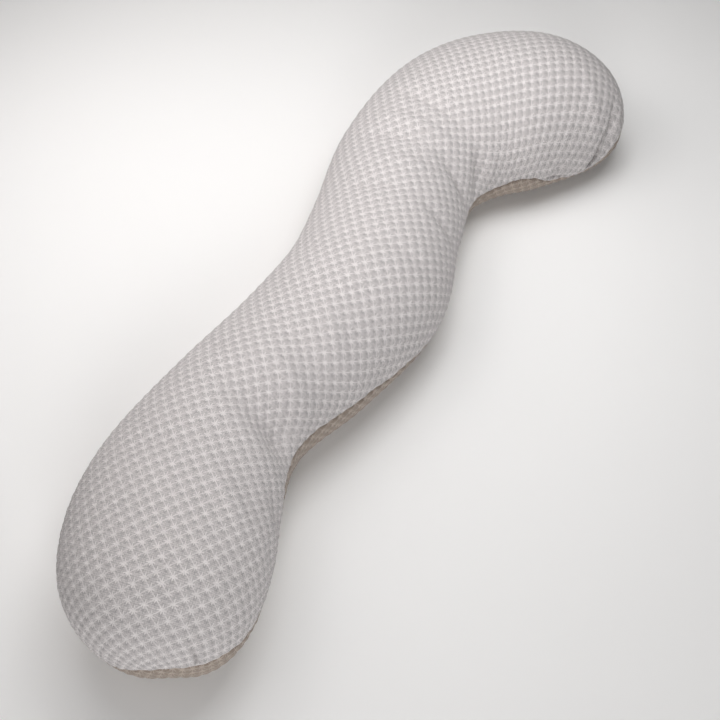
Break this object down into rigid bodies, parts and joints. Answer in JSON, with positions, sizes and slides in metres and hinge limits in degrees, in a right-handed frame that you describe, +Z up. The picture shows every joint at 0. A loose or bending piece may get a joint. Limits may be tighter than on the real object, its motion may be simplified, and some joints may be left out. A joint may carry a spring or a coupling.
{
  "type": "body pillow",
  "caption": "Long wavy filled body pillow with rounded ends and a seam all the way round, in pale star-patterned knitted cloth, lying on its back.",
  "frame": {"origin": "on the surface the pillow rests on, under the middle of its bounding box", "axes": "+X along the pillow's longest extent, from the end whose bend is gentle to the end that hooks round; +Z up, through the thickness"},
  "size_m": [1.1334, 0.3431, 0.1768],
  "materials": {
    "cloth": "soft puffed knit in pale grey with small white star stitches and thin white lines between them"
  },
  "bodies": {
    "root": {"pillow": "cloth"}
  },
  "joints": []
}
